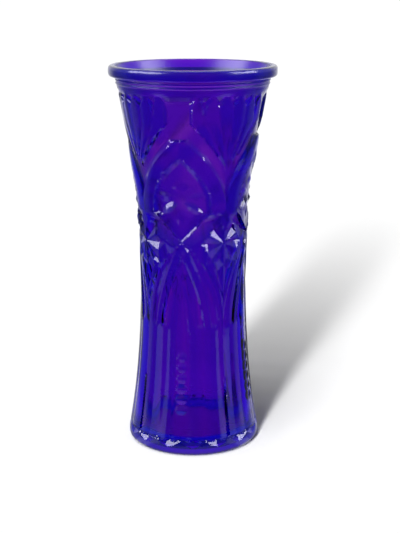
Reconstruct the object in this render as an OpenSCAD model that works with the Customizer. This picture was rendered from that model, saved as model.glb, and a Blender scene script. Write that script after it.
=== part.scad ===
// A flared vase of moulded violet glass: one closed solid, hollow from the rim down.
// Its outside is an outline turned round the axis and pressed in by a pattern that repeats round it.
// Across, a place in the pattern is a share of half a repeat: 0 on the arch axis, 1 on the star axis.
// Up, a place in the pattern is a share of the vase's height.

/* [Body] */
// Height from the table to the top of the rim
vase_h = 250; // [225:1:275]
// Outer diameter of the rim bead
rim_d = 108; // [104:0.5:114]
// Outer diameter of the neck, under the collar ring
neck_d = 97.4; // [93:0.2:99]
// Outer diameter of the waist, across its crests
waist_d = 70; // [64:0.2:76]
// Outer diameter of the foot
foot_d = 87.4; // [80:0.2:94]
// Height of the waist above the table
waist_z = 113; // [106:1:120]

/* [Wall] */
// Thickness of the wall, from its crests to the smooth inside
wall = 4.2; // [3.8:0.1:5.4]
// Thickness of the base in the middle
base_t = 3.5; // [3:0.5:7]
// Depth of the hollow under the base
kick = 3; // [1:0.1:4]
// Radius of the corner between the wall and the floor inside
floor_round = 8; // [4:0.5:10]

/* [Rim] */
// Height of the rim bead
bead_h = 7; // [5:0.2:9]
// Width of the rim bead
bead_w = 5.6; // [4.8:0.2:7]
// Height of the collar ring under the bead
collar_h = 2.6; // [2:0.2:3.4]
// How far the collar ring stands out from the neck
collar_out = 1; // [0.4:0.1:1.6]

/* [Foot] */
// Radius of the rounded lower edge
foot_round = 4; // [2:0.2:5]
// Width of the ring that the vase stands on
contact_w = 4; // [2:0.2:6]
// Height at which the row of notches over the foot starts
points_z = 6; // [5.5:0.1:8]
// Height of the row of notches
points_h = 5.2; // [4:0.1:6]
// How much shallower a notch is at its sides than in its middle
points_out = 1.8; // [0.8:0.1:2.4]

/* [Pattern] */
// Depth of the grooves between the body lobes
lobe_depth = 0.8; // [0.4:0.1:1.4]
// How far the braces of the lower arches stand out
brace_out = 0.5; // [0.2:0.1:0.8]
// Depth of the moats beside the braces
moat_depth = 0.9; // [0.4:0.1:1.2]
// Depth of the deepest hollows of the stars
star_depth = 2.2; // [1:0.1:2.4]
// Depth of the field inside the gothic arches
field_depth = 1.8; // [0.8:0.1:2]
// How far the petals of a rosette stand up from the field
petal_out = 1.6; // [0.6:0.1:1.8]
// Depth of the bed that the fans of reeds stand in
bed_depth = 2.2; // [1:0.1:2.4]
// How far the crown of a rib stands over its edges
rib_crown = 0.2; // [0:0.1:0.4]
// How far each diamond stands out of its channel
diamond_out = 0.8; // [0.6:0.1:1.6]

/* [Hidden] */

// The pattern repeats 4 times, and each repeat is one half and its mirror image
repeats = 4;
half_turn = 360 / repeats / 2;
arch_heading = -101.5;
overrun = 0.001;

neck_r = neck_d / 2;
waist_r = waist_d / 2;
foot_r = foot_d / 2;
rim_r = rim_d / 2;
bead_z = vase_h - bead_h;
collar_z = bead_z - 2 * collar_h;
points_top = points_z + points_h;

// Widths of the slopes beside a field and an arch, and half the width of a brace
edge_w = 2.8;
arch_edge_w = 5;
brace_w = 3.4;
// How steeply a notch deepens upwards, how far its brow drops to the sides, and how steep its step is
points_rise = 0.53;
points_drop = 1.6;
points_step = 2;

// How the outline swells below and above the waist: 1 is a cone, more is a later flare
foot_curve = 2.2;
neck_curve = 1.8;

// Heights of the pattern, as shares of the vase's height
star_share = 0.56;
cross_share = 0.564;
gather_share = 0.25;
kite_share = 0.64;
notch_share = 0.64;
peak_share = 0.828;
field_top_share = 0.784;
fan_shares = [0.75, 0.868];
reed_top_share = 0.94;
dome_share = 0.036;
bed_shares = [0.915, 0.945];
gap_shares = [0.876, 0.94];
string_shares = [0.108, 0.276];
channel_shares = [0.3, 0.47];
brace_shares = [0.335, 0.552];

// Widths of the pattern, as shares of half a repeat
kite_width_share = 0.655;
channel_width_share = 0.18;
diamond_width_share = 0.14;
fan_width_share = 0.8;
gap_width_share = 0.1;
brace_width_share = 0.6;
// How deep the flutes between the reeds are, as a share of the bed's depth
flute_share = 0.4;

// How the curves of the lower arches and of the gothic arches bend
gather_curve = 3.2;
arch_curve = 1.75;
field_curve = 2.3;
brace_curve = 1.7;
// How fast the crests of the reeds round off
reed_round = 1.5;

diamond_count = 6;
lobes_in_half = 2;
reeds_in_half = 3;
// The lobes are flat over this share of their width, and slope to the grooves over the rest
lobe_flat_share = 0.29;
// A curve's lean is measured over this share of the height, above and below
nudge_share = 0.002;
// The braces and the reeds rise out of the glass over these shares of the height
brace_end_share = 0.02;
reed_end_share = 0.0295;
// How wide a moat is, against the half width of its brace, and how steep the brace's own sides are
moat_width = 2;
brace_side = 2;
half_width = PI / repeats * waist_r;

// Columns of points across half a repeat
column_shares = [0, 0.07, 0.14, 0.25, 0.38, 0.5, 0.61, 0.68, 0.75, 0.87, 1];

// Heights of the rows of points round the star, from its centre
star_row_shares = [
    -0.132, -0.1, -0.075, -0.058, -0.048, -0.038, -0.0185, 0,
    0.0185, 0.03, 0.038, 0.052, 0.066, 0.08
];
arch_rows = 12;
reed_row_shares = [0.848, 0.868, 0.888, 0.908, 0.922, 0.932, 0.94];

// One side of a star. Each hollow is a deepest point, the ridge points round it, and its depth as a share.
// Points are measured from the star's centre.
star_hollow_shares = [
    [[0.39, 0.001], [[0, 0], [0.39, 0.0185], [0.61, 0], [0.4, -0.0185]], 1],
    [[0.25, 0.038], [[0, 0], [0.34, 0.024], [0.34, 0.078], [0, 0.032]], 0.75],
    [[0.28, -0.038], [[0, 0], [0.4, -0.0185], [0.44, -0.052], [0.24, -0.048]], 0.6],
    [[0.09, -0.041], [[0, 0], [0.24, -0.048], [0, -0.056]], 0.35],
    [[0.14, -0.072], [[0, -0.056], [0.24, -0.048], [0.26, -0.062], [0, -0.132]], 0.6]
];

// The flat cuts between a star and the arch axis. Points are measured from the arch axis and the table.
side_hollow_shares = [
    [[0.54, 0.597], [[0, 0.564], [0.695, 0.59], [0.66, 0.64]], 0.2],
    [[0.46, 0.575], [[0, 0.564], [0.39, 0.56], [0.61, 0.5785], [0.695, 0.59]], 0.35]
];

// The raised petals of a rosette: middle across and up, half width and half height, rise to the side in mm,
// and how far they stand up, as a share
petal_shares = [
    [0, 0.71, 0.2, 0.015, 0, 0.45],
    [0.4, 0.686, 0.26, 0.0125, 1, 0.5],
    [0.28, 0.655, 0.22, 0.0135, -3.2, 0.9],
    [0, 0.626, 0.13, 0.02, 0, 0.45]
];

function clamped(t) = min(1, max(0, t));
function eased(t) = let (c = clamped(t)) c * c * (3 - 2 * c);
function blend(a, b, t) = a + (b - a) * t;
function cross_of(a, b) = a[0] * b[1] - a[1] * b[0];

// How near a place is to a hollow's deepest point: 1 there, 0 on its ridges and outside
function near_in_side(place, deep, a, b) =
    let (
        whole = cross_of(a - deep, b - deep),
        to_a = cross_of(place - deep, b - deep) / whole,
        to_b = cross_of(a - deep, place - deep) / whole
    )
    min(to_a, to_b) < -overrun || to_a + to_b > 1 ? 0 : 1 - to_a - to_b;
function near_in(place, deep, ring) =
    let (n = len(ring))
    max([for (i = [0 : n - 1]) near_in_side(place, deep, ring[i], ring[(i + 1) % n])]);
function hollow_share(place, hollows) = max([for (h = hollows) h[2] * near_in(place, h[0], h[1])]);

// Radius of the outline across the crests of the pattern
function outline_r(z) =
    z < foot_round ? foot_r - foot_round * (1 - sqrt(1 - pow(1 - z / foot_round, 2)))
    : z < points_z ? foot_r
    : z < waist_z ? blend(waist_r, foot_r, pow((waist_z - z) / (waist_z - points_z), foot_curve))
    : blend(waist_r, neck_r, pow((z - waist_z) / (collar_z - waist_z), neck_curve));

// How far out each curve of the pattern lies at a height share
function gather_at(up) =
    1 - pow(clamped((up - gather_share) / (cross_share - gather_share)), gather_curve);
function cross_at(up) = kite_width_share * clamped((up - cross_share) / (kite_share - cross_share));
function arch_at(up) =
    1 - pow(clamped((up - notch_share) / (peak_share - notch_share)), arch_curve);
function field_at(up) =
    kite_width_share
    * (1 - pow(clamped((up - kite_share) / (field_top_share - kite_share)), field_curve));
function brace_at(up) =
    brace_width_share
    * (1 - pow(clamped((up - brace_shares[0]) / (brace_shares[1] - brace_shares[0])), brace_curve));
function fan_at(up) =
    fan_width_share * clamped((up - fan_shares[0]) / (fan_shares[1] - fan_shares[0]));

// Distance in mm of a place from a curve that lies at a share, given the curve's shares just below and above
function beside(over, at, below, above) =
    (over - at) * half_width / norm([1, (above - below) * half_width / (2 * nudge_share * vase_h)]);
function beside_arch(over, up) =
    beside(over, arch_at(up), arch_at(up - nudge_share), arch_at(up + nudge_share));
function beside_field(over, up) =
    up < kite_share
    ? beside(over, cross_at(up), cross_at(up - nudge_share), cross_at(up + nudge_share))
    : beside(over, field_at(up), field_at(up - nudge_share), field_at(up + nudge_share));
function beside_brace(over, up) =
    beside(over, brace_at(up), brace_at(up - nudge_share), brace_at(up + nudge_share));

// Depths of the pattern's areas below the outline
function lobes_depth(over, width) =
    let (at = over * lobes_in_half, swell = abs(2 * (at - floor(at)) - 1))
    lobe_depth * clamped((swell - lobe_flat_share) / (1 - lobe_flat_share)) * clamped(2 * width);
function braced_depth(lobes, over, up) =
    let (
        near = abs(beside_brace(over, up)) / brace_w,
        end = eased((up - brace_shares[0]) / brace_end_share),
        side = near < 1 ? -brace_out : lobes
    )
    blend(lobes, side, end * eased(brace_side * (1 - near)))
    + moat_depth * end * eased(near) * (1 - eased((near - 1) / moat_width));
function channel_at(up) =
    channel_width_share
    * clamped((channel_shares[1] - up) / (channel_shares[1] - channel_shares[0]));
function diamond_near(over, up) =
    let (
        pitch = (string_shares[1] - string_shares[0]) / diamond_count,
        at = (up - string_shares[0]) / pitch,
        off = abs(2 * (at - floor(at)) - 1)
    )
    at < 0 || at > diamond_count ? 0 : clamped(1 - off - over / diamond_width_share);
function body_depth(over, up) =
    let (width = gather_at(up))
    over < channel_at(up)
    ? lobe_depth - diamond_out * diamond_near(over, up)
    : braced_depth(lobes_depth(over / width, width), over, up);

function petal_near(over, up, petal) =
    let (
        x = (over - petal[0]) / petal[2],
        y = (up - petal[1] - petal[4] / vase_h * x) / petal[3]
    )
    petal[5] * clamped(1 - x * x - abs(y));
function field_pattern(over, up) =
    clamped(-beside_field(over, up) / edge_w)
    * (field_depth - petal_out * max([for (petal = petal_shares) petal_near(over, up, petal)]));

function rib_depth(over, inner, outer) =
    rib_crown * pow(2 * clamped((over - inner) / (outer - inner)) - 1, 2);

// How high the reeds stand in their bed: 1 on their crests, 0 in the open bed
function reed_at(over, up) =
    let (
        fan = fan_at(up),
        at = (1 - over) / max(fan, overrun) * reeds_in_half,
        swell = pow(2 * (at - floor(at)) - 1, 2),
        top = clamped((up - reed_top_share + dome_share) / dome_share),
        cut = at > reeds_in_half - 1 / 2 ? 1 : blend(flute_share, 1, top),
        gap = gap_width_share * clamped((up - gap_shares[0]) / (gap_shares[1] - gap_shares[0])),
        from_gap = abs(at - reeds_in_half + 1) * fan / reeds_in_half
    )
    at > reeds_in_half || up > reed_top_share ? 0
    : from_gap < gap ? 0
    : eased(reed_round * (1 - cut * swell - top * top))
    * clamped((up - fan_shares[0]) / reed_end_share);
function spandrel(over, up) =
    let (bed = bed_depth * eased((bed_shares[1] - up) / (bed_shares[1] - bed_shares[0])))
    bed * (1 - reed_at(over, up)) * (up < peak_share ? eased(beside_arch(over, up) / arch_edge_w) : 1);

function star_side(over, up) =
    star_depth
    * max(
        hollow_share([1 - over, up - star_share], star_hollow_shares),
        hollow_share([over, up], side_hollow_shares)
    );

// The notch under the end of each lobe: two facets that meet under its crest, and the step up to the lobe
function points_depth(over, z) =
    let (
        at = over * lobes_in_half,
        across = abs(2 * (at - floor(at)) - 1),
        facets = max(0, points_rise * (z - points_z) - points_out * across),
        lobe = body_depth(over, z / vase_h) * clamped((z - points_z) / points_h),
        step = points_step * max(0, points_top - points_drop * across - z)
    )
    min(facets, lobe + step);

// Depth of the whole pattern at a share across and a height
function depth(over, z) =
    let (up = z / vase_h)
    z < points_z || z > collar_z ? 0
    : z <= points_top ? points_depth(over, z)
    : up < cross_share && over < gather_at(up) ? body_depth(over, up)
    : up < kite_share && over >= cross_at(up) ? star_side(over, up)
    : over < field_at(up) || (up < kite_share && over < cross_at(up)) ? field_pattern(over, up)
    : over < arch_at(up) ? rib_depth(over, field_at(up), arch_at(up))
    : spandrel(over, up);

// Rows of the patterned outside, from the table up
star_rows = [for (s = star_row_shares) (star_share + s) * vase_h];
string_rows = [
    for (i = [0 : 2 * diamond_count])
        blend(string_shares[0], string_shares[1], i / (2 * diamond_count)) * vase_h
];
outer_rows = concat(
    [0, foot_round / 3, foot_round, points_z, points_z + points_h / 2],
    [points_top - points_drop, points_top, blend(points_top, string_rows[0], 1 / 2)],
    string_rows,
    [for (i = [1 : 3]) blend(string_rows[2 * diamond_count], star_rows[0], i / 4)],
    star_rows,
    [for (i = [1 : arch_rows]) blend(kite_share, peak_share, i / arch_rows) * vase_h],
    [for (up = reed_row_shares) up * vase_h],
    [collar_z]
);

// The collar ring and the rim bead, as radius and height, from the neck over the top to the inside
bead_angles = [-50, -5, 40, 90, 140, 185, 230];
top_outline = concat(
    [
        [neck_r + collar_out / 3, collar_z + collar_h / 3],
        [neck_r + collar_out, collar_z + collar_h],
        [neck_r + 3 * collar_out / 2, bead_z - collar_h / 2],
        [neck_r + collar_out, bead_z - collar_h / 4]
    ],
    [
        for (a = bead_angles)
            [rim_r - bead_w / 2 * (1 - cos(a)), bead_z + bead_h / 2 * (1 + sin(a))]
    ]
);

// The smooth inside, as radius and height, from under the bead down to the floor
inside_levels = 7;
floor_arc_steps = 4;
floor_z = base_t + kick;
inside_top = bead_z - collar_h / 2;
function inside_r(z) = outline_r(z) - wall;
inside_outline = concat(
    [
        for (i = [0 : inside_levels])
            let (z = blend(min(inside_top, collar_z), floor_z + floor_round, i / inside_levels))
            [inside_r(z), z]
    ],
    [
        for (i = [1 : floor_arc_steps])
            let (a = 90 * i / floor_arc_steps)
            [
                inside_r(floor_z + floor_round) - floor_round * (1 - cos(a)),
                floor_z + floor_round * (1 - sin(a))
            ]
    ]
);

// Headings of the columns round the vase, with each half repeat and its mirror image
half_columns = len(column_shares) - 1;
columns = 2 * half_columns * repeats;
function share_of(i) =
    let (k = i % (2 * half_columns))
    k <= half_columns ? column_shares[k] : column_shares[2 * half_columns - k];
function heading_of(i) =
    let (k = i % (2 * half_columns), turn = floor(i / (2 * half_columns)) * 2 * half_turn)
    arch_heading + turn
    + half_turn * (k <= half_columns ? column_shares[k] : 2 - column_shares[2 * half_columns - k]);
function around(r, z, i) = [r * cos(heading_of(i)), r * sin(heading_of(i)), z];

outer_points = [
    for (z = outer_rows, i = [0 : columns - 1]) around(outline_r(z) - depth(share_of(i), z), z, i)
];
top_points = [for (p = top_outline, i = [0 : columns - 1]) around(p[0], p[1], i)];
inner_points = [
    for (p = inside_outline, i = [0 : columns / 2 - 1]) around(p[0], p[1], 2 * i)
];
contact_r = outline_r(0) - contact_w;
kick_points = [
    for (p = [[contact_r, 0], [contact_r - kick / 3, kick]], i = [0 : columns / 2 - 1])
        around(p[0], p[1], 2 * i)
];

outer_rings = len(outer_rows) + len(top_outline);
inner_rings = len(inside_outline);
inner_start = outer_rings * columns;
kick_start = inner_start + inner_rings * columns / 2;
floor_middle = kick_start + columns;
kick_middle = floor_middle + 1;

// Two triangles for each cell between rings of n points that start at low and high
function band(low, high, n) = [
    for (i = [0 : n - 1], t = [0, 1])
        let (j = (i + 1) % n)
        t == 0 ? [low + i, high + i, high + j] : [low + i, high + j, low + j]
];
// The same for the patterned rows, with each cell cut along the line that lies nearer to the pattern
function rises(k, i, j) =
    let (
        low = outer_rows[k],
        high = outer_rows[k + 1],
        middle = depth((share_of(i) + share_of(j)) / 2, (low + high) / 2),
        up = depth(share_of(i), low) + depth(share_of(j), high),
        down = depth(share_of(i), high) + depth(share_of(j), low)
    )
    abs(up / 2 - middle) <= abs(down / 2 - middle);
function pattern_band(k) = [
    for (i = [0 : columns - 1], t = [0, 1])
        let (
            j = (i + 1) % columns,
            low = k * columns,
            high = low + columns,
            up = rises(k, i, j)
        )
        t == 0 ? [low + i, high + i, up ? high + j : low + j]
        : [up ? low + i : high + i, high + j, low + j]
];
// Three triangles for each step of a ring of n points at coarse, against 2 n points at fine
function seam(fine, coarse, n) = [
    for (i = [0 : n - 1], t = [0 : 2])
        let (a = fine + 2 * i, b = a + 1, c = fine + (2 * i + 2) % (2 * n), j = (i + 1) % n)
        t == 0 ? [a, coarse + i, b] : t == 1 ? [b, coarse + i, coarse + j] : [b, coarse + j, c]
];
function fan(ring, middle, n) = [for (i = [0 : n - 1]) [ring + i, middle, ring + (i + 1) % n]];
function flipped(faces) = [for (f = faces) [f[2], f[1], f[0]]];

vase_faces = concat(
    [for (k = [0 : len(outer_rows) - 2]) each pattern_band(k)],
    [
        for (k = [len(outer_rows) - 1 : outer_rings - 2])
            each band(k * columns, (k + 1) * columns, columns)
    ],
    seam((outer_rings - 1) * columns, inner_start, columns / 2),
    [
        for (k = [0 : inner_rings - 2])
            each band(inner_start + k * columns / 2, inner_start + (k + 1) * columns / 2, columns / 2)
    ],
    fan(inner_start + (inner_rings - 1) * columns / 2, floor_middle, columns / 2),
    flipped(seam(0, kick_start, columns / 2)),
    flipped(band(kick_start, kick_start + columns / 2, columns / 2)),
    flipped(fan(kick_start + columns / 2, kick_middle, columns / 2))
);

module vase() {
    color([0.24, 0.02, 0.66])
    polyhedron(
        points = concat(
            outer_points, top_points, inner_points, kick_points, [[0, 0, floor_z], [0, 0, kick]]
        ),
        faces = vase_faces,
        convexity = 6
    );
}

vase();
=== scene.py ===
"""A violet moulded glass vase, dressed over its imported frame: view, vase, table and lights, in that order."""
import math

import bpy
import numpy as np
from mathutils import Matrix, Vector
from mathutils.geometry import delaunay_2d_cdt


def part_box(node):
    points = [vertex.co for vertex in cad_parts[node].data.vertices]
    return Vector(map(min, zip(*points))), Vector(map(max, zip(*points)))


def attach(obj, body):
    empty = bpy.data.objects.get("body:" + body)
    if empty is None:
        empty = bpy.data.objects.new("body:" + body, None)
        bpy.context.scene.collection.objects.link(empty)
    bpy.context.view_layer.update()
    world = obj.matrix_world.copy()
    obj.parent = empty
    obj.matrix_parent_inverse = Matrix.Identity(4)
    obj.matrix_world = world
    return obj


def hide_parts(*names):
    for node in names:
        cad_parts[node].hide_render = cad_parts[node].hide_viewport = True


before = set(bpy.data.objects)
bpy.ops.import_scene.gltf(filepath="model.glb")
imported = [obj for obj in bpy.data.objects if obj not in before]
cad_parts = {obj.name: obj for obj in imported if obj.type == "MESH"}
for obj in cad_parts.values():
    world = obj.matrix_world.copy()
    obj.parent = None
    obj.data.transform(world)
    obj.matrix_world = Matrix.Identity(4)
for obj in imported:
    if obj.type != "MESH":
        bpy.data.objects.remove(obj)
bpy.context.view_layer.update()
base, top = (Vector(corner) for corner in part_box("vase"))
MM = 0.001

# The view. The photographer stands a little to the right of the vase and looks down on it at 14 degrees,
# from about 0.8 m away, so the rim opens as a flat ellipse and the foot as a rounder one.
EYE = Vector((4.55, -735.3, 305.8)) * MM
TILT = math.radians(14.38)
LENS = 77.12
SENSOR = 36.0
CLIP_END = 50.0

camera = bpy.data.objects.new("camera", bpy.data.cameras.new("camera"))
camera.data.sensor_fit = "VERTICAL"
camera.data.sensor_height = SENSOR
camera.data.lens = LENS
camera.data.clip_end = CLIP_END
camera.location = EYE
camera.rotation_euler = (math.pi / 2 - TILT, 0, 0)
bpy.context.scene.collection.objects.link(camera)
bpy.context.scene.camera = camera

# The vase. The real one is a single piece of violet glass, pressed in a four-part mould and fire polished.
# The pattern is cut into the mould, so every hollow, rib and reed belongs to the same wall of glass.
VASE_H = top.z - base.z

# The outline: radii across the crests of the pattern, and how it curves away from the waist.
RIM_R = 54.0 * MM
NECK_R = 48.7 * MM
WAIST_R = 35.0 * MM
FOOT_R = 43.7 * MM
WAIST_Z = 113.0 * MM
FOOT_CURVE = 2.2
NECK_CURVE = 1.8

# The wall, the floor and the ring that the vase stands on.
WALL = 4.2 * MM
BASE_T = 3.5 * MM
KICK = 3.0 * MM
FLOOR_ROUND = 8.0 * MM
FOOT_ROUND = 4.0 * MM
CONTACT_W = 4.0 * MM

# The bead of the rim, squarer than an ellipse (1.0), and the collar, which splays and has two fine rings.
BEAD_H = 7.0 * MM
BEAD_W = 5.6 * MM
BEAD_SQUARE = 0.6
BEAD_ANGLES = (-62, 125)
COLLAR_H = 2.6 * MM
COLLAR_OUT = 1.0 * MM
COLLAR_SPAN = 1.6
COLLAR_SPLAY = 0.5
COLLAR_RING = 0.6

# The foot points: under each lobe two flat facets lean in, below a brow that drops to its sides.
POINTS_Z = 6.0 * MM
POINTS_H = 5.2 * MM
POINTS_OUT = 1.8 * MM
POINTS_LEAN = 0.66
POINTS_DROP = 1.6 * MM
POINTS_TOP = POINTS_Z + POINTS_H

# Relief of the body: lobes with a flat crest, braces with a moat beside them, diamonds in a channel.
LOBE_DEPTH = 0.8 * MM
LOBE_FLAT = 0.4
GATHER_CURVE = 3.2
BRACE_OUT = 0.8 * MM
BRACE_W = 3.4 * MM
BRACE_CURVE = 1.7
MOAT_DEPTH = 0.9 * MM
CHANNEL_EDGE_W = 1.6 * MM
DIAMOND_OUT = 0.8 * MM
DIAMOND_SHARP = 0.25

# Relief above the body: cut stars with a lip, sunk rosettes, arch ribs, and reeds in a sunk bed.
STAR_DEPTH = 2.2 * MM
LIP_W = 2.5 * MM
DROP_DEPTH = 1.0 * MM
FIELD_DEPTH = 1.8 * MM
FIELD_CURVE = 2.3
PETAL_OUT = 1.6 * MM
EDGE_W = 2.8 * MM
CROSS_EDGE_W = 1.4 * MM
CROSS_EDGE_SPREAD = 4
RIB_CROWN = 0.25 * MM
ARCH_CURVE = 1.75
ARCH_EDGE_W = 5.0 * MM
BED_DEPTH = 2.2 * MM

# A reed: how plump it is, what its height loses at its grooves, and how fast it rises as its fan widens.
REED_PLUMP = 1.5
REED_LOSS = 0.1
REED_RISE = 5

# Heights of the pattern as shares of the vase's height, and widths as shares of half a repeat:
# 0 is the axis of an arch and 1 the axis of a star.
REPEATS = 4
ARCH_HEADING = math.radians(-101.5)
DIAMONDS = 6
LOBES_IN_HALF = 2
REEDS_IN_HALF = 3
STAR_SHARE = 0.56
CROSS_SHARE = 0.564
GATHER_SHARE = 0.25
KITE_SHARE = 0.64
NOTCH_SHARE = 0.64
PEAK_SHARE = 0.828
FIELD_TOP_SHARE = 0.784
FIELD_OVERLAP_SHARE = 0.01
LIP_SHARES = (0.42, 0.5)
FAN_SHARES = (0.75, 0.868)
REED_TOP_SHARE = 0.94
DOME_SHARE = 0.036
BED_SHARES = (0.915, 0.945)
GAP_SHARES = (0.876, 0.94)
STRING_SHARES = (0.108, 0.276)
BRACE_SHARES = (0.335, 0.552)
BRACE_TOP_SHARE = 0.54
BRACE_END_SHARE = 0.02
CHANNEL_SHARES = (0.3, 0.47)
CUT_END_SHARE = 0.024
BRACE_WIDTH_SHARE = 0.6
KITE_WIDTH_SHARE = 0.655
CHANNEL_WIDTH_SHARE = 0.18
CHANNEL_END_WIDTH_SHARE = 0.03
DIAMOND_WIDTH_SHARE = 0.14
RIB_END_WIDTH_SHARE = 0.1
FAN_WIDTH_SHARE = 0.8
FLUTE_SHARE = 0.4

# The gap that opens between two reeds: the number of its groove, its width and the width of its edges.
GAP_GROOVE = 2
GAP_WIDTH_SHARE = 0.1
GAP_EDGE_SHARE = 0.1

# One side of a star, from its centre: the deepest point of each hollow, the ridge round it, its depth.
STAR_HOLLOW_SHARES = (
    ((0.39, 0.001), ((0, 0), (0.39, 0.0185), (0.61, 0), (0.4, -0.0185)), 1.0),
    ((0.25, 0.037), ((0, 0), (0.34, 0.024), (0.34, 0.078), (0, 0.032)), 1.0),
    ((0.28, -0.038), ((0, 0), (0.4, -0.0185), (0.44, -0.052), (0.24, -0.048)), 0.6),
    ((0.09, -0.041), ((0, 0), (0.24, -0.048), (0, -0.056)), 0.35),
    ((0.14, -0.072), ((0, -0.056), (0.24, -0.048), (0.26, -0.062), (0, -0.132)), 0.6),
)
# The flat cuts between a star and the arch axis, from the arch axis and the table.
SIDE_HOLLOW_SHARES = (
    ((0.54, 0.597), ((0, 0.564), (0.695, 0.59), (0.66, 0.64)), 0.2),
    ((0.46, 0.575), ((0, 0.564), (0.39, 0.56), (0.61, 0.5785), (0.695, 0.59)), 0.35),
)
# The small drop cut under a crossing: its deepest point, the ridge round it, its depth in metres.
DROP_HOLLOW = ((0.0, 0.53), ((0, 0.562), (0.1, 0.538), (0, 0.51)), DROP_DEPTH)
# The raised petals of a rosette: middle across and up, half width and half height, lean in mm of rise, and
# how far they stand up, as a share of a petal's height.
PETAL_SHARES = (
    (0, 0.71, 0.2, 0.015, 0, 0.45),
    (0.4, 0.686, 0.26, 0.0125, 1.0, 0.5),
    (0.28, 0.655, 0.22, 0.0135, -3.2, 0.9),
    (0, 0.626, 0.13, 0.02, 0, 0.45),
)

HOLLOWS = [
    ((1 - x, STAR_SHARE + y), tuple((1 - a, STAR_SHARE + b) for a, b in ring), share * STAR_DEPTH)
    for (x, y), ring, share in STAR_HOLLOW_SHARES
] + [(deep, ring, share * STAR_DEPTH) for deep, ring, share in SIDE_HOLLOW_SHARES]

HALF_TURN = math.pi / REPEATS
PATTERN_R = WAIST_R + 2 * MM
HALF_WIDTH = HALF_TURN * PATTERN_R
COLLAR_Z = VASE_H - BEAD_H - 2 * COLLAR_H

# The mesh: steps across half a repeat, between its places and along its creases, then as shares of a step
# how high a row of even triangles is and how far its places keep from a crease and from the border, and
# how near two places are the same, in mm.
STEP_ACROSS = 30
MESH_STEP = 1.2 * MM
EDGE_STEP = 0.9 * MM
ROW_SHARE = 0.866
CLEAR_SHARE = 0.55
BORDER_SHARE = 0.4
SAME_PLACE = 1e-4
WELD = 0.01 * MM
SHARP_ANGLE = math.radians(15)
# Steps along a crease, how far one may run past the half repeat, and how far it keeps from the height
# where its curve ends.
SHORT, LONG = 24, 60
FIELD_STEPS, ARCH_STEPS = 50, 80
DIAMOND_STEPS, PETAL_STEPS, NOTCH_STEPS = 12, 32, 8
SEARCH_STEPS = 200
OVERHANG = 0.05
CURVE_END = 0.004
PEAK_END = 0.003
FAN_END = 0.01
NARROW_FAN = 0.03
# Steps of the turned profile: the collar, the bead, the flare to the lip, the inside, the roundings.
COLLAR_STEPS, BEAD_STEPS, FLARE_STEPS, INSIDE_STEPS, ROUND_STEPS = 24, 26, 8, 39, 9
# Least values that keep a division sound, and a distance beyond any on the vase.
LEAST_WIDTH = 1e-6
LEAST_FAN = 1e-3
LEAST_SLOPE = 1e-9
FAR = 1.0


def clamped(t):
    return np.clip(t, 0.0, 1.0)


def between(t, low, high):
    """How far t is on the way from low to high, from 0 to 1."""
    return clamped((t - low) / (high - low))


def eased(t):
    return clamped(t) ** 2 * (3 - 2 * clamped(t))


def blend(a, b, t):
    return a + (b - a) * t


def off_middle(count):
    """How far a count is from the middle between two whole numbers: 0 there and 1 at each of them."""
    return np.abs(2 * (count - np.floor(count)) - 1)


def outline_r(z):
    """Radius across the crests of the pattern."""
    edge = FOOT_R - FOOT_ROUND * (1 - np.sqrt(1 - clamped(1 - z / FOOT_ROUND) ** 2))
    below = blend(WAIST_R, FOOT_R, between(z, WAIST_Z, POINTS_Z) ** FOOT_CURVE)
    above = blend(WAIST_R, NECK_R, between(z, WAIST_Z, COLLAR_Z) ** NECK_CURVE)
    return np.where(z < FOOT_ROUND, edge, np.where(z < WAIST_Z, below, above))


def gather_at(up):
    """The arch that the lobes gather into, up to the crossing."""
    return 1 - between(up, GATHER_SHARE, CROSS_SHARE) ** GATHER_CURVE


def lip_at(up):
    """The outer edge of the lip beside the gathered lobes."""
    return min(1, gather_at(up) + LIP_W / HALF_WIDTH)


def cross_at(up):
    """The lower edges of a rosette, from the crossing to its widest place."""
    return KITE_WIDTH_SHARE * between(up, CROSS_SHARE, KITE_SHARE)


def field_at(up):
    """The upper edges of a rosette, which run along the inner side of the arch."""
    return KITE_WIDTH_SHARE * (1 - between(up, KITE_SHARE, FIELD_TOP_SHARE) ** FIELD_CURVE)


def arch_at(up):
    """The outer side of the gothic arch."""
    return 1 - between(up, NOTCH_SHARE, PEAK_SHARE) ** ARCH_CURVE


def channel_at(up):
    """Half the width of the channel that holds the diamonds."""
    return CHANNEL_WIDTH_SHARE * between(up, CHANNEL_SHARES[1], CHANNEL_SHARES[0])


def brace_at(up):
    """The middle of the brace that runs from the crossing down each side of the body's arch."""
    return BRACE_WIDTH_SHARE * (1 - between(up, *BRACE_SHARES) ** BRACE_CURVE)


def fan_at(up):
    """Half the width of a fan of reeds, measured from the axis of a star."""
    return FAN_WIDTH_SHARE * between(up, *FAN_SHARES)


def lean_of(rule, up, nudge=0.002):
    """How far across a curve of the pattern goes for each metre that it rises."""
    return (rule(up + nudge) - rule(up - nudge)) * HALF_WIDTH / (2 * nudge * VASE_H)


def beside(rule, over, up):
    """Distance of a place from a curve of the pattern, less than 0 on the arch axis's side."""
    return (over - rule(up)) * HALF_WIDTH / np.sqrt(1 + lean_of(rule, up) ** 2)


def on_glass(over, up, below=0.0):
    """A place of the pattern as a point in space, at a depth below the outline."""
    r = float(outline_r(np.array(up * VASE_H))) - below
    return np.array((r * math.cos(over * HALF_TURN), r * math.sin(over * HALF_TURN), up * VASE_H))


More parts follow.
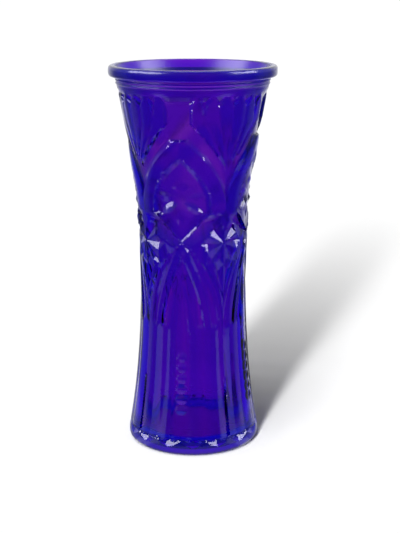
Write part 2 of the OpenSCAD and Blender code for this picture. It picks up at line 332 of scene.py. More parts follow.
def cut_depth(over, z, hollow):
    """Depth of a hollow ground with flat faces, each from its deepest point to one side of its ring."""
    (over_deep, up_deep), ring, below = hollow
    deep = on_glass(over_deep, up_deep, below)
    r = outline_r(z)
    depths = []
    for a, b in zip(ring, ring[1:] + ring[:1]):
        normal = np.cross(on_glass(*a) - deep, on_glass(*b) - deep)
        normal = normal * np.sign(normal[0] * deep[0] + normal[1] * deep[1])
        across = normal[0] * np.cos(over * HALF_TURN) + normal[1] * np.sin(over * HALF_TURN)
        depths.append(r - (normal @ deep - normal[2] * z) / np.maximum(across, LEAST_SLOPE))
    return np.maximum(np.min(depths, axis=0), 0)


def diamond_near(over, up):
    """How far a diamond stands up at each place, as a share of the full height."""
    count = (up - STRING_SHARES[0]) / (STRING_SHARES[1] - STRING_SHARES[0]) * DIAMONDS
    high, wide = off_middle(count), over / DIAMOND_WIDTH_SHARE
    shape = blend(clamped(1 - high ** 2 - wide ** 2), clamped(1 - high - wide), DIAMOND_SHARP)
    return np.where((count > 0) & (count < DIAMONDS), shape, 0)


def body_depth(over, up):
    """The lobes of the body, gathered into the crossing, with the string of diamonds in its channel."""
    width = np.maximum(gather_at(up), LEAST_WIDTH)
    valley = clamped((1 + LOBE_FLAT) * off_middle(over / width * LOBES_IN_HALF) - LOBE_FLAT)
    lobes = LOBE_DEPTH * valley * clamped(2 * width)
    near = np.abs(beside(brace_at, over, up)) / BRACE_W
    end = eased((up - BRACE_SHARES[0]) / BRACE_END_SHARE)
    lobes = blend(lobes, np.where(near < 1, -BRACE_OUT, lobes), end * eased(2 * (1 - near)))
    lobes = lobes + MOAT_DEPTH * end * eased(near) * (1 - eased((near - 1) / 2))
    lobes = np.maximum(lobes, cut_depth(over, up * VASE_H, DROP_HOLLOW))
    channel = channel_at(up)
    inside = eased((channel - over) * HALF_WIDTH / CHANNEL_EDGE_W + 0.5)
    inside = inside * clamped(channel / CHANNEL_END_WIDTH_SHARE)
    return blend(lobes, LOBE_DEPTH - DIAMOND_OUT * diamond_near(over, up), inside)


def star_depth(over, up):
    """The flat cuts of a star and beside it, which run out at their top, and the lip under them."""
    lip = LOBE_DEPTH * clamped(1 - beside(gather_at, over, up) / LIP_W) ** 2
    cuts = np.max([cut_depth(over, up * VASE_H, hollow) for hollow in HOLLOWS], axis=0)
    cuts = cuts * eased((KITE_SHARE - up) / CUT_END_SHARE)
    return np.maximum(cuts, np.where(up < CROSS_SHARE, lip, 0))


def petal_near(over, up, petal):
    """How far a petal stands up at each place, as a share of the full height."""
    across, middle, half_wide, half_high, lean, share = petal
    x = (over - across) / half_wide
    y = (up - middle - lean * MM / VASE_H * x) / half_high
    return share * clamped(1 - x ** 2 - np.abs(y))


def field_depth(over, up):
    """The sunk field of a rosette with its petals. Its edge is steeper below its widest place than above."""
    petals = np.max([petal_near(over, up, petal) for petal in PETAL_SHARES], axis=0)
    from_cross = -beside(cross_at, over, up)
    from_arch = -beside(field_at, over, np.maximum(up, KITE_SHARE))
    edge = np.minimum(
        np.where(up < KITE_SHARE, from_cross, FAR),
        np.where(up > KITE_SHARE - FIELD_OVERLAP_SHARE, from_arch, FAR))
    steep = clamped(edge / CROSS_EDGE_W)
    gentle = clamped(edge / CROSS_EDGE_W / CROSS_EDGE_SPREAD - 1 / CROSS_EDGE_SPREAD)
    bowl = np.where(up < KITE_SHARE, 0.5 * steep + 0.5 * gentle, clamped(edge / EDGE_W))
    return FIELD_DEPTH * bowl - PETAL_OUT * petals * clamped(edge / EDGE_W)


def rib_depth(over, up):
    """The rib of an arch, a little hollowed between its two edges."""
    inner, outer = field_at(up), arch_at(up)
    at = clamped((over - inner) / np.maximum(outer - inner, LEAST_WIDTH))
    return RIB_CROWN * (2 * at - 1) ** 2 * clamped((outer - inner) / RIB_END_WIDTH_SHARE)


def reed_near(over, up):
    """How far the reeds stand up in their bed, as a share of its depth. They count from a star's axis."""
    fan = fan_at(up)
    at = (1 - over) / np.maximum(fan, LEAST_FAN) * REEDS_IN_HALF
    swell = off_middle(at) ** 2
    top = clamped((up - REED_TOP_SHARE + DOME_SHARE) / DOME_SHARE)
    cut = np.where(at > REEDS_IN_HALF - 0.5, 1.0, blend(FLUTE_SHARE, 1.0, top))
    reed = eased(REED_PLUMP * (1 - cut * swell - top ** 2))
    reed = np.where((at < REEDS_IN_HALF) & (up < REED_TOP_SHARE), reed, 0)
    gap = GAP_WIDTH_SHARE * between(up, *GAP_SHARES)
    past_gap = np.abs(at - GAP_GROOVE) * fan / REEDS_IN_HALF - gap
    return reed * (1 - REED_LOSS * swell) * clamped(REED_RISE * fan) * eased(1 + past_gap / GAP_EDGE_SHARE)


def spandrel_depth(over, up):
    """The bed of the reeds, which falls away from the arch and rises to the smooth neck."""
    bed = BED_DEPTH * eased(between(up, BED_SHARES[1], BED_SHARES[0]))
    crown = RIB_CROWN * clamped((arch_at(up) - field_at(up)) / RIB_END_WIDTH_SHARE)
    step = eased(beside(arch_at, over, up) / ARCH_EDGE_W)
    return blend(
        np.where(up < PEAK_SHARE, crown, 0), np.maximum(bed * (1 - reed_near(over, up)), 0),
        np.where(up < PEAK_SHARE, step, 1))


def notch(across, z):
    """How far the two flat facets of a notch lie under the outline."""
    half = HALF_TURN / LOBES_IN_HALF / 2
    turn = math.atan((math.cos(half) - 1 + POINTS_OUT / FOOT_R) / math.sin(half))
    flat = (FOOT_R - POINTS_LEAN * (z - POINTS_Z)) * math.cos(turn) / np.cos(across * half + turn)
    return outline_r(z) - flat


def points_depth(over, z):
    """The notch cut in the lower end of each lobe: two facets that meet under its crest, and its step."""
    across = off_middle(over * LOBES_IN_HALF)
    facets = np.maximum(0, notch(across, z))
    lobe = body_depth(over, z / VASE_H) * clamped((z - POINTS_Z) / POINTS_H)
    step = 2 * np.maximum(0, POINTS_TOP - POINTS_DROP * across - z)
    return np.minimum(facets, lobe + step)


def depth(over, z):
    """Depth of the pattern below the outline, anywhere between the foot and the collar."""
    up = z / VASE_H
    upper = np.where(over < arch_at(up), rib_depth(over, up), spandrel_depth(over, up))
    in_field = (over < field_at(up)) & (up >= KITE_SHARE) | (over < cross_at(up)) & (up < KITE_SHARE)
    upper = np.where(in_field, field_depth(over, up), upper)
    upper = np.where((up < KITE_SHARE) & (over >= cross_at(up)), star_depth(over, up), upper)
    upper = np.where((up < CROSS_SHARE) & (over < gather_at(up)), body_depth(over, up), upper)
    return np.where(z <= POINTS_TOP, points_depth(over, z), upper)


def line(*places):
    """A broken line through places of the pattern, cut into steps no longer than the mesh needs."""
    out = [places[0]]
    for (x0, z0), (x1, z1) in zip(places, places[1:]):
        n = max(1, math.ceil(math.hypot((x1 - x0) * HALF_WIDTH, z1 - z0) / EDGE_STEP))
        out += [(blend(x0, x1, i / n), blend(z0, z1, i / n)) for i in range(1, n + 1)]
    return out


def straight(a, b):
    """The places of the pattern along a straight edge between two points in space."""
    n = max(1, math.ceil(np.linalg.norm(b - a) / EDGE_STEP))
    points = [blend(a, b, i / n) for i in range(n + 1)]
    return [(math.atan2(p[1], p[0]) / HALF_TURN, p[2]) for p in points]


def curve(rule, low, high, steps=SHORT, off=0.0):
    """A curve of the pattern between two heights, set off from itself by a distance square to it."""
    places = []
    for up in np.linspace(low, high, steps + 1):
        shift = off / HALF_WIDTH * math.sqrt(1 + lean_of(rule, up) ** 2) if off else 0
        if -OVERHANG < rule(up) + shift < 1 + OVERHANG:
            places.append((float(rule(up)) + shift, float(up) * VASE_H))
    return line(*places)


def hollow_lines(hollow):
    """The ring of a hollow, and the edges from its deepest point to the ring's corners."""
    (over, up), ring, below = hollow
    deep = on_glass(over, up, below)
    corners = [on_glass(*corner) for corner in ring]
    return ([straight(a, b) for a, b in zip(corners, corners[1:] + corners[:1])]
            + [straight(deep, corner) for corner in corners])


def diamond_lines():
    """The outline and the crest line of each diamond of the string."""
    pitch = (STRING_SHARES[1] - STRING_SHARES[0]) / DIAMONDS * VASE_H
    lines = []
    for i in range(DIAMONDS):
        low = STRING_SHARES[0] * VASE_H + i * pitch
        half = [(DIAMOND_WIDTH_SHARE * math.sin(t), low + pitch / 2 * (1 - math.cos(t)))
                for t in np.linspace(0, math.pi, DIAMOND_STEPS + 1)]
        lines += [line(*half), line((0, low + pitch / 2), half[DIAMOND_STEPS // 2])]
    return lines


def petal_lines(petal):
    """The two edges and the crest of a petal, as far as they lie in the half repeat."""
    across, middle, half_wide, half_high, lean, _ = petal
    lines = []
    for side in (-1, 0, 1):
        edge = [(across + half_wide * x,
                 (middle + side * half_high * (1 - x ** 2)) * VASE_H + lean * MM * x)
                for x in np.linspace(-1, 1, PETAL_STEPS + 1)]
        lines.append(line(*[place for place in edge if place[0] >= 0]))
    return lines


def reed_line(k):
    """The groove on the far side of a reed, from where it leaves the arch to the top of the reeds."""
    def groove_at(up):
        return 1 - k / REEDS_IN_HALF * fan_at(up)

    low = next(up for up in np.linspace(FAN_SHARES[0] + FAN_END, REED_TOP_SHARE, SEARCH_STEPS)
               if groove_at(up) > arch_at(up) and fan_at(up) > NARROW_FAN)
    return curve(groove_at, low, REED_TOP_SHARE, LONG)


def notch_line(middle, side, lower):
    """The lower edge of the notch under a lobe, or its brow, from the crest of the lobe to one side."""
    heights = np.linspace(POINTS_Z, POINTS_TOP, SEARCH_STEPS)
    places = []
    for across in np.linspace(0, 1, NOTCH_STEPS + 1):
        z = POINTS_TOP - POINTS_DROP * across
        if lower:
            z = min(float(np.interp(0, notch(across, heights), heights)), z)
        places.append((middle + side * across / 2 / LOBES_IN_HALF, z))
    return line(*places)


def crease_lines():
    """Every line of the pattern where the glass turns sharply, as lists of places."""
    lines = []
    for hollow in HOLLOWS + [DROP_HOLLOW]:
        lines += hollow_lines(hollow)
    for k in range(1, LOBES_IN_HALF + 1):
        lines.append(curve(
            lambda up, k=k: k / LOBES_IN_HALF * gather_at(up), POINTS_TOP / VASE_H, CROSS_SHARE, LONG))
    lines.append(curve(lip_at, *LIP_SHARES))
    lines.append(curve(channel_at, POINTS_TOP / VASE_H, CHANNEL_SHARES[1]))
    for side in (-3, -2, -1, -0.5, 0, 0.5, 1, 2, 3):
        lines.append(curve(brace_at, BRACE_SHARES[0], BRACE_TOP_SHARE, LONG, side * BRACE_W))
    lines += diamond_lines()
    for rule, low, high, steps, width, sides in (
        (cross_at, CROSS_SHARE + CURVE_END, KITE_SHARE - CURVE_END, SHORT, CROSS_EDGE_W, (0, -0.5, -1)),
        (arch_at, NOTCH_SHARE + CURVE_END, PEAK_SHARE - PEAK_END, ARCH_STEPS, ARCH_EDGE_W,
         (0, 0.25, 0.5, 0.75, 1)),
        (field_at, KITE_SHARE + CURVE_END, FIELD_TOP_SHARE - PEAK_END, FIELD_STEPS, EDGE_W, (0, -0.5, -1)),
    ):
        lines += [curve(rule, low, high, steps, side * width) for side in sides]
    for petal in PETAL_SHARES:
        lines += petal_lines(petal)
    lines += [reed_line(k) for k in range(1, REEDS_IN_HALF + 1)]
    lines += [line((0, z), (1, z)) for z in (POINTS_TOP, REED_TOP_SHARE * VASE_H)]
    for k in range(LOBES_IN_HALF):
        middle = (k + 0.5) / LOBES_IN_HALF
        lines.append(line((middle, POINTS_Z), (middle, POINTS_TOP)))
        lines += [notch_line(middle, side, lower) for side in (-1, 1) for lower in (True, False)]
    return lines


def mesh_places():
    """Places across and up for the mesh of the patterned face, and the edges that follow its creases:
    first the places on the border and the creases, then rows of even triangles between them."""
    low, high = POINTS_Z, COLLAR_Z
    border = [line((0, low), (0, high)), line((1, low), (1, high))]
    border += [[(i / STEP_ACROSS, z) for i in range(STEP_ACROSS + 1)] for z in (low, high)]
    places, edges = [], []
    for crease in border + crease_lines():
        for i, (over, z) in enumerate(crease):
            if i:
                edges.append((len(places) - 1, len(places)))
            places.append((min(1, max(0, over)) * HALF_WIDTH, min(high, max(low, z))))
    creases = np.array(places)
    rows = int((high - low) / (MESH_STEP * ROW_SHARE))
    for row in range(1, rows):
        z = blend(low, high, row / rows)
        near = creases[np.abs(creases[:, 1] - z) < MESH_STEP]
        first = MESH_STEP * (0.5 + 0.5 * (row % 2))
        for x in np.arange(first, HALF_WIDTH - MESH_STEP * BORDER_SHARE, MESH_STEP):
            apart = np.hypot(near[:, 0] - x, near[:, 1] - z)
            if len(apart) == 0 or np.min(apart) > CLEAR_SHARE * MESH_STEP:
                places.append((float(x), z))
    return places, edges


def turned(profile, points, faces):
    """Adds the surface that a profile of radius and height leaves as it turns through half a repeat."""
    start = len(points)
    for radius, height in profile:
        for i in range(STEP_ACROSS + 1):
            t = i / STEP_ACROSS * HALF_TURN
            points.append((radius * math.cos(t), radius * math.sin(t), height))
    for k in range(len(profile) - 1):
        for i in range(STEP_ACROSS):
            a = start + k * (STEP_ACROSS + 1) + i
            faces.append((a, a + 1, a + STEP_ACROSS + 2, a + STEP_ACROSS + 1))


def half_repeat():
    """Half of one repeat of the vase, as points and faces: its patterned face, then rim, inside and foot."""
    places, edges = mesh_places()
    scale = 1 / MM
    flat, _, faces, *_ = delaunay_2d_cdt([Vector(p) * scale for p in places], edges, [], 0, SAME_PLACE)
    flat = np.array([tuple(p) for p in flat]) / scale
    over, z = flat[:, 0] / HALF_WIDTH, flat[:, 1]
    r = outline_r(z) - depth(over, z)
    points = [(a * math.cos(t), a * math.sin(t), h) for a, t, h in zip(r, over * HALF_TURN, z)]
    faces = [tuple(face) for face in faces]
    turned(rim_and_inside(), points, faces)
    turned(foot_profile(), points, faces)
    return points, faces


def inside_r(z):
    return float(outline_r(np.array(z))) - WALL


def rim_and_inside():
    """Radius and height over the collar and the bead, straight on to the wall and down the smooth inside."""
    bead_z = VASE_H - BEAD_H
    places = [(NECK_R, COLLAR_Z)]
    for t in np.linspace(0, 1, COLLAR_STEPS + 1)[1:]:
        out = COLLAR_SPLAY * t + COLLAR_RING * math.sin(2 * math.pi * t) ** 2
        places.append((NECK_R + COLLAR_OUT * out, COLLAR_Z + COLLAR_SPAN * COLLAR_H * t))
    for a in np.radians(np.linspace(*BEAD_ANGLES, BEAD_STEPS + 1)):
        out, up = (math.copysign(abs(f(a)) ** BEAD_SQUARE, f(a)) for f in (math.cos, math.sin))
        places.append((RIM_R - BEAD_W / 2 * (1 - out), bead_z + BEAD_H / 2 * (1 + up)))
    lip_r, lip_z = places[-1]
    for t in np.linspace(0, 1, FLARE_STEPS + 1)[1:-1]:
        places.append((blend(lip_r, inside_r(COLLAR_Z), t), blend(lip_z, COLLAR_Z, t)))
    floor_z = BASE_T + KICK
    for z in np.linspace(COLLAR_Z, floor_z + FLOOR_ROUND, INSIDE_STEPS + 1):
        places.append((inside_r(z), float(z)))
    corner_r = inside_r(floor_z + FLOOR_ROUND) - FLOOR_ROUND
    for a in np.radians(np.linspace(0, 90, ROUND_STEPS + 1))[1:]:
        places.append((corner_r + FLOOR_ROUND * math.cos(a), floor_z + FLOOR_ROUND * (1 - math.sin(a))))
    places += [(corner_r * (1 - t), floor_z) for t in (0.25, 0.5, 0.75, 1)]
    return places


def foot_profile():
    """Radius and height from the middle of the hollow under the base, over the ring it stands on."""
    contact = FOOT_R - FOOT_ROUND
    places = [(contact * t, KICK) for t in (0, 0.3, 0.6, 0.8)]
    places += [(contact - CONTACT_W - KICK / 3, KICK), (contact - CONTACT_W, 0), (contact, 0)]
    for z in FOOT_ROUND * (1 - np.cos(np.radians(np.linspace(10, 90, ROUND_STEPS)))):
        places.append((float(outline_r(np.array(z))), float(z)))
    places.append((FOOT_R, blend(FOOT_ROUND, POINTS_Z, 0.9)))
    places.append((FOOT_R, POINTS_Z))
    return places


class Nodes:
    """Adds nodes to a tree: a node's kind and settings first, then the values or links of its sockets."""

    def __init__(self, tree):
        self.tree = tree
        tree.nodes.clear()

    def add(self, kind, settings=None, out=0, **sockets):
        made = self.tree.nodes.new(kind)
        for name, value in (settings or {}).items():
            setattr(made, name, value)
        for name, value in sockets.items():
            socket = made.inputs[int(name[1:]) if name[1:].isdigit() else name.replace("_", " ")]
            if isinstance(value, Value):
                self.tree.links.new(value.socket, socket)
            else:
                socket.default_value = value
        return Value(self, made.outputs[out]) if made.outputs else made


class Value:
    """A socket that can be used in sums."""

    def __init__(self, nodes, socket):
        self.nodes, self.socket = nodes, socket

    def math(self, operation, a, b, clamp=False):
        return self.nodes.add("ShaderNodeMath", {"operation": operation, "use_clamp": clamp}, i0=a, i1=b)

    def __add__(self, other):
        return self.math("ADD", self, other)

    __radd__ = __add__

    def __mul__(self, other):
        return self.math("MULTIPLY", self, other)

    __rmul__ = __mul__

    def __sub__(self, other):
        return self.math("SUBTRACT", self, other)

    def __rsub__(self, other):
        return self.math("SUBTRACT", other, self)

    def __truediv__(self, other):
        return self.math("DIVIDE", self, other)

    def __rtruediv__(self, other):
        return self.math("DIVIDE", other, self)

    def __pow__(self, other):
        return self.math("POWER", self, other)

    def clamped(self):
        return self.math("ADD", self, 0.0, clamp=True)

    def eased(self, low, high):
        """0 below low and 1 above high, with a smooth way between."""
        smooth = {"interpolation_type": "SMOOTHSTEP"}
        return self.nodes.add("ShaderNodeMapRange", smooth, i0=self, i1=low, i2=high)

    def fades(self, low, high):
        """1 below low and 0 above high."""
        return 1 - self.eased(low, high)


def repeats_tree(material):
    """Geometry nodes that mirror half a repeat, set the pairs round the axis and weld them into one skin."""
    tree = bpy.data.node_groups.new("vase repeats", "GeometryNodeTree")
    tree.interface.new_socket("Half repeat", in_out="INPUT", socket_type="NodeSocketGeometry")
    settings = {}
    for name, kind, value in (
        ("Repeats", "Int", REPEATS), ("First heading", "Float", ARCH_HEADING), ("Weld", "Float", WELD),
    ):
        socket = tree.interface.new_socket(name, in_out="INPUT", socket_type="NodeSocket" + kind)
        settings[socket.identifier] = value
    tree.interface.new_socket("Vase", in_out="OUTPUT", socket_type="NodeSocketGeometry")
    nodes = Nodes(tree)
    half, count, heading, weld = (nodes.add("NodeGroupInput", out=k) for k in range(4))
    mirrored = nodes.add("GeometryNodeTransform", Geometry=half, Scale=(1, -1, 1))
    flipped = nodes.add("GeometryNodeFlipFaces", Mesh=mirrored)
    whole = nodes.add("GeometryNodeJoinGeometry", Geometry=flipped)
    tree.links.new(half.socket, whole.socket.node.inputs["Geometry"])
    places = nodes.add("GeometryNodeMeshLine", Count=count, Offset=(0, 0, 0))
    turn = nodes.add("GeometryNodeInputIndex") * (2 * math.pi / count) + heading
    rotation = nodes.add("ShaderNodeCombineXYZ", Z=turn)
    copies = nodes.add("GeometryNodeInstanceOnPoints", Points=places, Instance=whole, Rotation=rotation)
    real = nodes.add("GeometryNodeRealizeInstances", Geometry=copies)
    welded = nodes.add("GeometryNodeMergeByDistance", Geometry=real, Distance=weld)
    painted = nodes.add("GeometryNodeSetMaterial", Geometry=welded, Material=material)
    nodes.add("NodeGroupOutput", Vase=painted)
    return tree, settings


# The colour that light takes on in the glass, and tints of its skin from the base up: each one takes over
# between two heights.
GLASS_COLOUR = (0.68, 0.01, 0.982, 1)
GLASS_DENSITY = 1100.0
GLASS_IOR = 1.52
BASE_TINT = (1.0, 0.9, 0.7, 1)
TINTS = (
    (25 * MM, 45 * MM, (0.83, 0.9, 0.64, 1)),
    (92 * MM, 122 * MM, (0.6, 0.8, 0.65, 1)),
    (160 * MM, 190 * MM, (0.7, 0.9, 0.66, 1)),
)

# Waves of the inside and the skin: noise scales, and how much the skin's count beside the inside's.
INSIDE_WAVES = 45.0
INSIDE_SWELL = 0.5 * MM
SKIN_WAVES = 90.0
SKIN_RIPPLE = 0.1
SMEARS = 140.0

# Roughness of each area, and the bands of height or radius over which it sets in.
SKIN_ROUGH = 0.01
SMEAR_ROUGH = 0.02
INSIDE_ROUGH = 0.04
TOP_ROUGH = 0.16
FLOOR_ROUGH = 0.25
REED_ROUGH = 0.03
RIM_ROUGH = 0.13
MOUTH_ROUGH = 0.12
UNDER_ROUGH = 0.45
INSIDE_RADII = (WAIST_R - 0.9 * WALL, WAIST_R - 0.75 * WALL)
MOUTH_RADII = (RIM_R - 0.8 * BEAD_W, RIM_R - 0.5 * BEAD_W)
UNDER_RADII = (FOOT_R - 7 * MM, FOOT_R - 6 * MM)
UNDER_HEIGHTS = (KICK + 0.05 * MM, KICK + 0.3 * MM)
FLOOR_HEIGHTS = (14 * MM, 26 * MM)
TOP_HEIGHTS = (110 * MM, 150 * MM)
REED_HEIGHTS = (205 * MM, 218 * MM)
RIM_HEIGHTS = (234 * MM, 238 * MM)


def violet_glass():
    """Violet glass: clear at its skin, coloured all through, with the faint waves of pressed glass."""
    material = bpy.data.materials.new("violet_glass")
    material.use_nodes = True
    nodes = Nodes(material.node_tree)
    place = nodes.add("ShaderNodeTexCoord", out="Object")
    x, y, z = (nodes.add("ShaderNodeSeparateXYZ", out=axis, Vector=place) for axis in "XYZ")
    above = ((z - WAIST_Z) / (COLLAR_Z - WAIST_Z)).clamped() ** NECK_CURVE * (NECK_R - WAIST_R)
    below = ((WAIST_Z - z) / (WAIST_Z - POINTS_Z)).clamped() ** FOOT_CURVE * (FOOT_R - WAIST_R)
    from_axis = (x * x + y * y) ** 0.5
    inside = (from_axis - above - below).fades(*INSIDE_RADII)
    mouth = from_axis.fades(*MOUTH_RADII)
    under = z.fades(*UNDER_HEIGHTS) * from_axis.fades(*UNDER_RADII)
    tint = BASE_TINT
    for low, high, colour in TINTS:
        tint = nodes.add(
            "ShaderNodeMix", {"data_type": "RGBA"}, out=2, i0=z.eased(low, high), i6=tint, i7=colour)
    waves = nodes.add("ShaderNodeTexNoise", Vector=place, Scale=INSIDE_WAVES, Detail=1.0)
    ripple = nodes.add("ShaderNodeTexNoise", Vector=place, Scale=SKIN_WAVES, Detail=1.0)
    smears = nodes.add("ShaderNodeTexNoise", Vector=place, Scale=SMEARS, Detail=3.0)
    swell = waves * inside + ripple * SKIN_RIPPLE
    soft = nodes.add("ShaderNodeBump", Height=swell, Strength=1.0, Distance=INSIDE_SWELL)
    inside_rough = INSIDE_ROUGH + z.eased(*TOP_HEIGHTS) * TOP_ROUGH + z.fades(*FLOOR_HEIGHTS) * FLOOR_ROUGH
    rim_rough = z.eased(*RIM_HEIGHTS) * (mouth * MOUTH_ROUGH + RIM_ROUGH)
    rough = smears * SMEAR_ROUGH + SKIN_ROUGH + z.eased(*REED_HEIGHTS) * REED_ROUGH
    rough = rough + inside * inside_rough + rim_rough + under * UNDER_ROUGH
    skin = nodes.add(
        "ShaderNodeBsdfPrincipled", Base_Color=tint, Roughness=rough, Transmission_Weight=1.0,
        IOR=GLASS_IOR, Normal=soft)
    body = nodes.add("ShaderNodeVolumeAbsorption", Color=GLASS_COLOUR, Density=GLASS_DENSITY)
    nodes.add("ShaderNodeOutputMaterial", Surface=skin, Volume=body)
    return material


half_mesh = bpy.data.meshes.new("half repeat")
half_points, half_faces = half_repeat()
half_mesh.from_pydata(half_points, [], half_faces)
half = bpy.data.objects.new("half repeat", half_mesh)
bpy.context.scene.collection.objects.link(half)
tree, settings = repeats_tree(violet_glass())
modifier = half.modifiers.new("repeats", "NODES")
modifier.node_group = tree
for key, value in settings.items():
    modifier[key] = value
graph = bpy.context.evaluated_depsgraph_get()
vase_mesh = bpy.data.meshes.new_from_object(half.evaluated_get(graph), depsgraph=graph)
vase_mesh.name = "vase_glass"
bpy.data.objects.remove(half)
vase_mesh.shade_smooth()
vase_mesh.set_sharp_from_angle(angle=SHARP_ANGLE)
vase = bpy.data.objects.new("vase_glass", vase_mesh)
bpy.context.scene.collection.objects.link(vase)
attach(vase, "root")
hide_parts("vase")

# The table. A plain white sweep that runs on past the picture's edges and takes the vase's soft shadow.
# In the glass's mirror image it glows with a painted reflection, an emission though it is no lamp: dim straight
# in front of the vase, brighter to its front sides, behind it and round its foot.
TABLE_SIZE = 60.0
WHITE = 0.9

# What the glass mirrors of the table is a painted reflection that only glossy rays see: a dim ground, and
# brighter areas. AHEAD values are the cosine of the way from the vase, 1 towards the viewer and -1 away, and
# AWAY values are metres from the vase.
TABLE_DIM = 0.04
SIDE_GLOW, SIDE_AHEAD, SIDE_AHEAD_END, SIDE_AWAY = 0.5, (0.34, 0.42), (0.62, 0.7), (0.37, 0.41)
FAR_GLOW, FAR_AHEAD = 0.75, (-0.95, -0.6)
FLANK_GLOW, FLANK_AHEAD = 0.15, (-0.3, 0.1)
FOOT_GLOW, FOOT_AWAY = 0.35, (0.1, 0.18)

table_mesh = bpy.data.meshes.new("table")
table_mesh.from_pydata(
    [(x * TABLE_SIZE / 2, y * TABLE_SIZE / 2, 0) for x, y in ((-1, -1), (1, -1), (1, 1), (-1, 1))],
    [], [(0, 1, 2, 3)])
white = bpy.data.materials.new("white_table")
white.use_nodes = True
nodes = Nodes(white.node_tree)
place = nodes.add("ShaderNodeTexCoord", out="Object")
x, y = (nodes.add("ShaderNodeSeparateXYZ", out=axis, Vector=place) for axis in "XY")
away = (x * x + y * y) ** 0.5
ahead = -1 * y / away
side = ahead.eased(*SIDE_AHEAD) * ahead.fades(*SIDE_AHEAD_END) * away.fades(*SIDE_AWAY)
# The painted reflection: how brightly the table glows where the glass mirrors it.
painted_glow = (TABLE_DIM + SIDE_GLOW * side + FAR_GLOW * ahead.fades(*FAR_AHEAD)
        + FLANK_GLOW * ahead.fades(*FLANK_AHEAD) + FOOT_GLOW * away.fades(*FOOT_AWAY))
matt = nodes.add("ShaderNodeBsdfDiffuse", Color=(WHITE, WHITE, WHITE, 1))
lit = nodes.add("ShaderNodeEmission", Color=(1, 1, 1, 1), Strength=1.0)
# The table's painted reflection, an emission for glossy rays only, though the table is no lamp.
mirror = nodes.add("ShaderNodeEmission", Color=(1, 1, 1, 1), Strength=painted_glow)
through = nodes.add("ShaderNodeLightPath", out="Is Transmission Ray")
mirrored = nodes.add("ShaderNodeLightPath", out="Is Glossy Ray")
surface = nodes.add("ShaderNodeMixShader", i0=mirrored, i1=matt, i2=mirror)
surface = nodes.add("ShaderNodeMixShader", i0=through, i1=surface, i2=lit)
nodes.add("ShaderNodeOutputMaterial", Surface=surface)
table_mesh.materials.append(white)
table = bpy.data.objects.new("table", table_mesh)
bpy.context.scene.collection.objects.link(table)

# The light. A tall soft strip at the viewer's left, as a row of suns one above the other, draws the shadow
# out behind the vase. Two soft boxes at the sides give the facets their glints.
AIM = Vector((0, 0, 0.5 * VASE_H))

# The strip: its heading, how far its low and its high suns lean out of line and between which rises that
# sets in, all in degrees, then the rise of each sun and its share of the light on the table.
STRIP_HEADING = -20.0
STRIP_WIDTH = 5.0
STRIP_DISTANCE = 3.0
LOW_LEAN, LOW_RISES = 2.0, (32, 20)
HIGH_LEAN, HIGH_RISES = -14.0, (45, 75)
STRIP = (
    (19, 0.05), (21.5, 0.055), (24, 0.06), (27, 0.06), (30, 0.06), (33.5, 0.055), (37, 0.05), (41, 0.057),
    (46, 0.062), (52, 0.06), (59, 0.062), (67, 0.07), (74, 0.07), (80, 0.06), (86, 0.055),
)
# The soft boxes: heading, rise, width, height and watts.
BOX_DISTANCE = 0.9
SOFT_BOXES = {
    "left_box": (-69, 29.5, 0.8, 0.5, 10),
    "right_box": (75.5, 28.5, 0.6, 0.46, 7.1),
}


def way_to(heading, rise):
    """The way from the vase to a heading, 0 at the viewer and more to the right."""
    h, e = math.radians(heading), math.radians(rise)
    return Vector((math.sin(h) * math.cos(e), -math.cos(h) * math.cos(e), math.sin(e)))


def add_lamp(lamp, way, distance, only):
    """Sets a lamp out on its way from the vase, turned to it, and lets it light one object only."""
    thing = bpy.data.objects.new(lamp.name, lamp)
    thing.location = AIM + way * distance
    thing.rotation_euler = way.to_track_quat("Z", "Y").to_euler()
    thing.visible_camera = False
    thing.visible_transmission = False
    bpy.context.scene.collection.objects.link(thing)
    group = bpy.data.collections.new(lamp.name + " lights")
    group.objects.link(only)
    thing.light_linking.receiver_collection = group


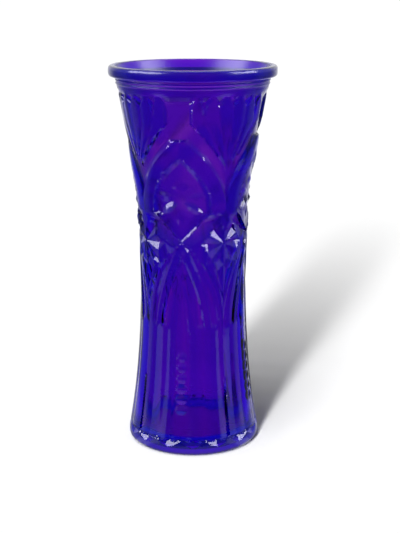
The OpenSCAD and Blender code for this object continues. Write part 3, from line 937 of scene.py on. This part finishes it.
for k, (rise, share) in enumerate(STRIP):
    sun = bpy.data.lights.new("strip_%d" % k, "SUN")
    sun.angle = math.radians(STRIP_WIDTH)
    sun.energy = share * math.pi / WHITE / math.sin(math.radians(rise))
    lean = LOW_LEAN * float(between(rise, *LOW_RISES)) + HIGH_LEAN * float(between(rise, *HIGH_RISES))
    add_lamp(sun, way_to(STRIP_HEADING + lean, rise), STRIP_DISTANCE, table)
for name, (heading, rise, wide, tall, watts) in SOFT_BOXES.items():
    lamp = bpy.data.lights.new(name, "AREA")
    lamp.shape = "RECTANGLE"
    lamp.size, lamp.size_y, lamp.energy = wide, tall, watts
    add_lamp(lamp, way_to(heading, rise), BOX_DISTANCE, vase)

# The room, white to the camera. The glass mirrors a dimmer one with brighter areas, and sees through itself
# one that is dimmer overhead. BACK and RISE values are the part of a way that goes back or up. FILL is the
# light that the room gives the table in the vase's shadow.
FILL = 0.155
ROOM_DIM = 0.12
HIGH_DIM, HIGH_RISE = 0.65, (0.15, 0.6)
PANEL_GLOW, PANEL_BACK, PANEL_BACK_END, PANEL_RISE = 0.5, (-0.7, -0.62), (-0.42, -0.34), (0.1, 0.25)
BACK_GLOW, BACK_BACK = 0.55, (0.5, 0.9)
SIDES_GLOW, SIDES_BACK = 0.35, (-0.1, 0.4)
CEILING_GLOW, CEILING_RISE = 0.7, (0.75, 0.9)

room = bpy.data.worlds.new("room")
bpy.context.scene.world = room
room.use_nodes = True
nodes = Nodes(room.node_tree)
way = nodes.add("ShaderNodeTexCoord", out="Generated")
back, rise = (nodes.add("ShaderNodeSeparateXYZ", out=axis, Vector=way) for axis in "YZ")
seen, through, mirrored = (
    nodes.add("ShaderNodeLightPath", out="Is %s Ray" % kind) for kind in ("Camera", "Transmission", "Glossy"))
other = 1 - (seen + through + mirrored).clamped()
panels = PANEL_GLOW * back.eased(*PANEL_BACK) * back.fades(*PANEL_BACK_END) * rise.fades(*PANEL_RISE)
distant = BACK_GLOW * back.eased(*BACK_BACK) + SIDES_GLOW * back.eased(*SIDES_BACK)
in_mirror = ROOM_DIM + panels + distant + CEILING_GLOW * rise.eased(*CEILING_RISE)
strength = (seen + through * (1 - HIGH_DIM * rise.eased(*HIGH_RISE))
            + mirrored * (1 - through) * in_mirror + other * FILL / WHITE)
backdrop = nodes.add("ShaderNodeBackground", Color=(1, 1, 1, 1), Strength=strength)
nodes.add("ShaderNodeOutputWorld", Surface=backdrop)

bpy.context.scene.view_settings.view_transform = "Standard"
bpy.context.view_layer.update()
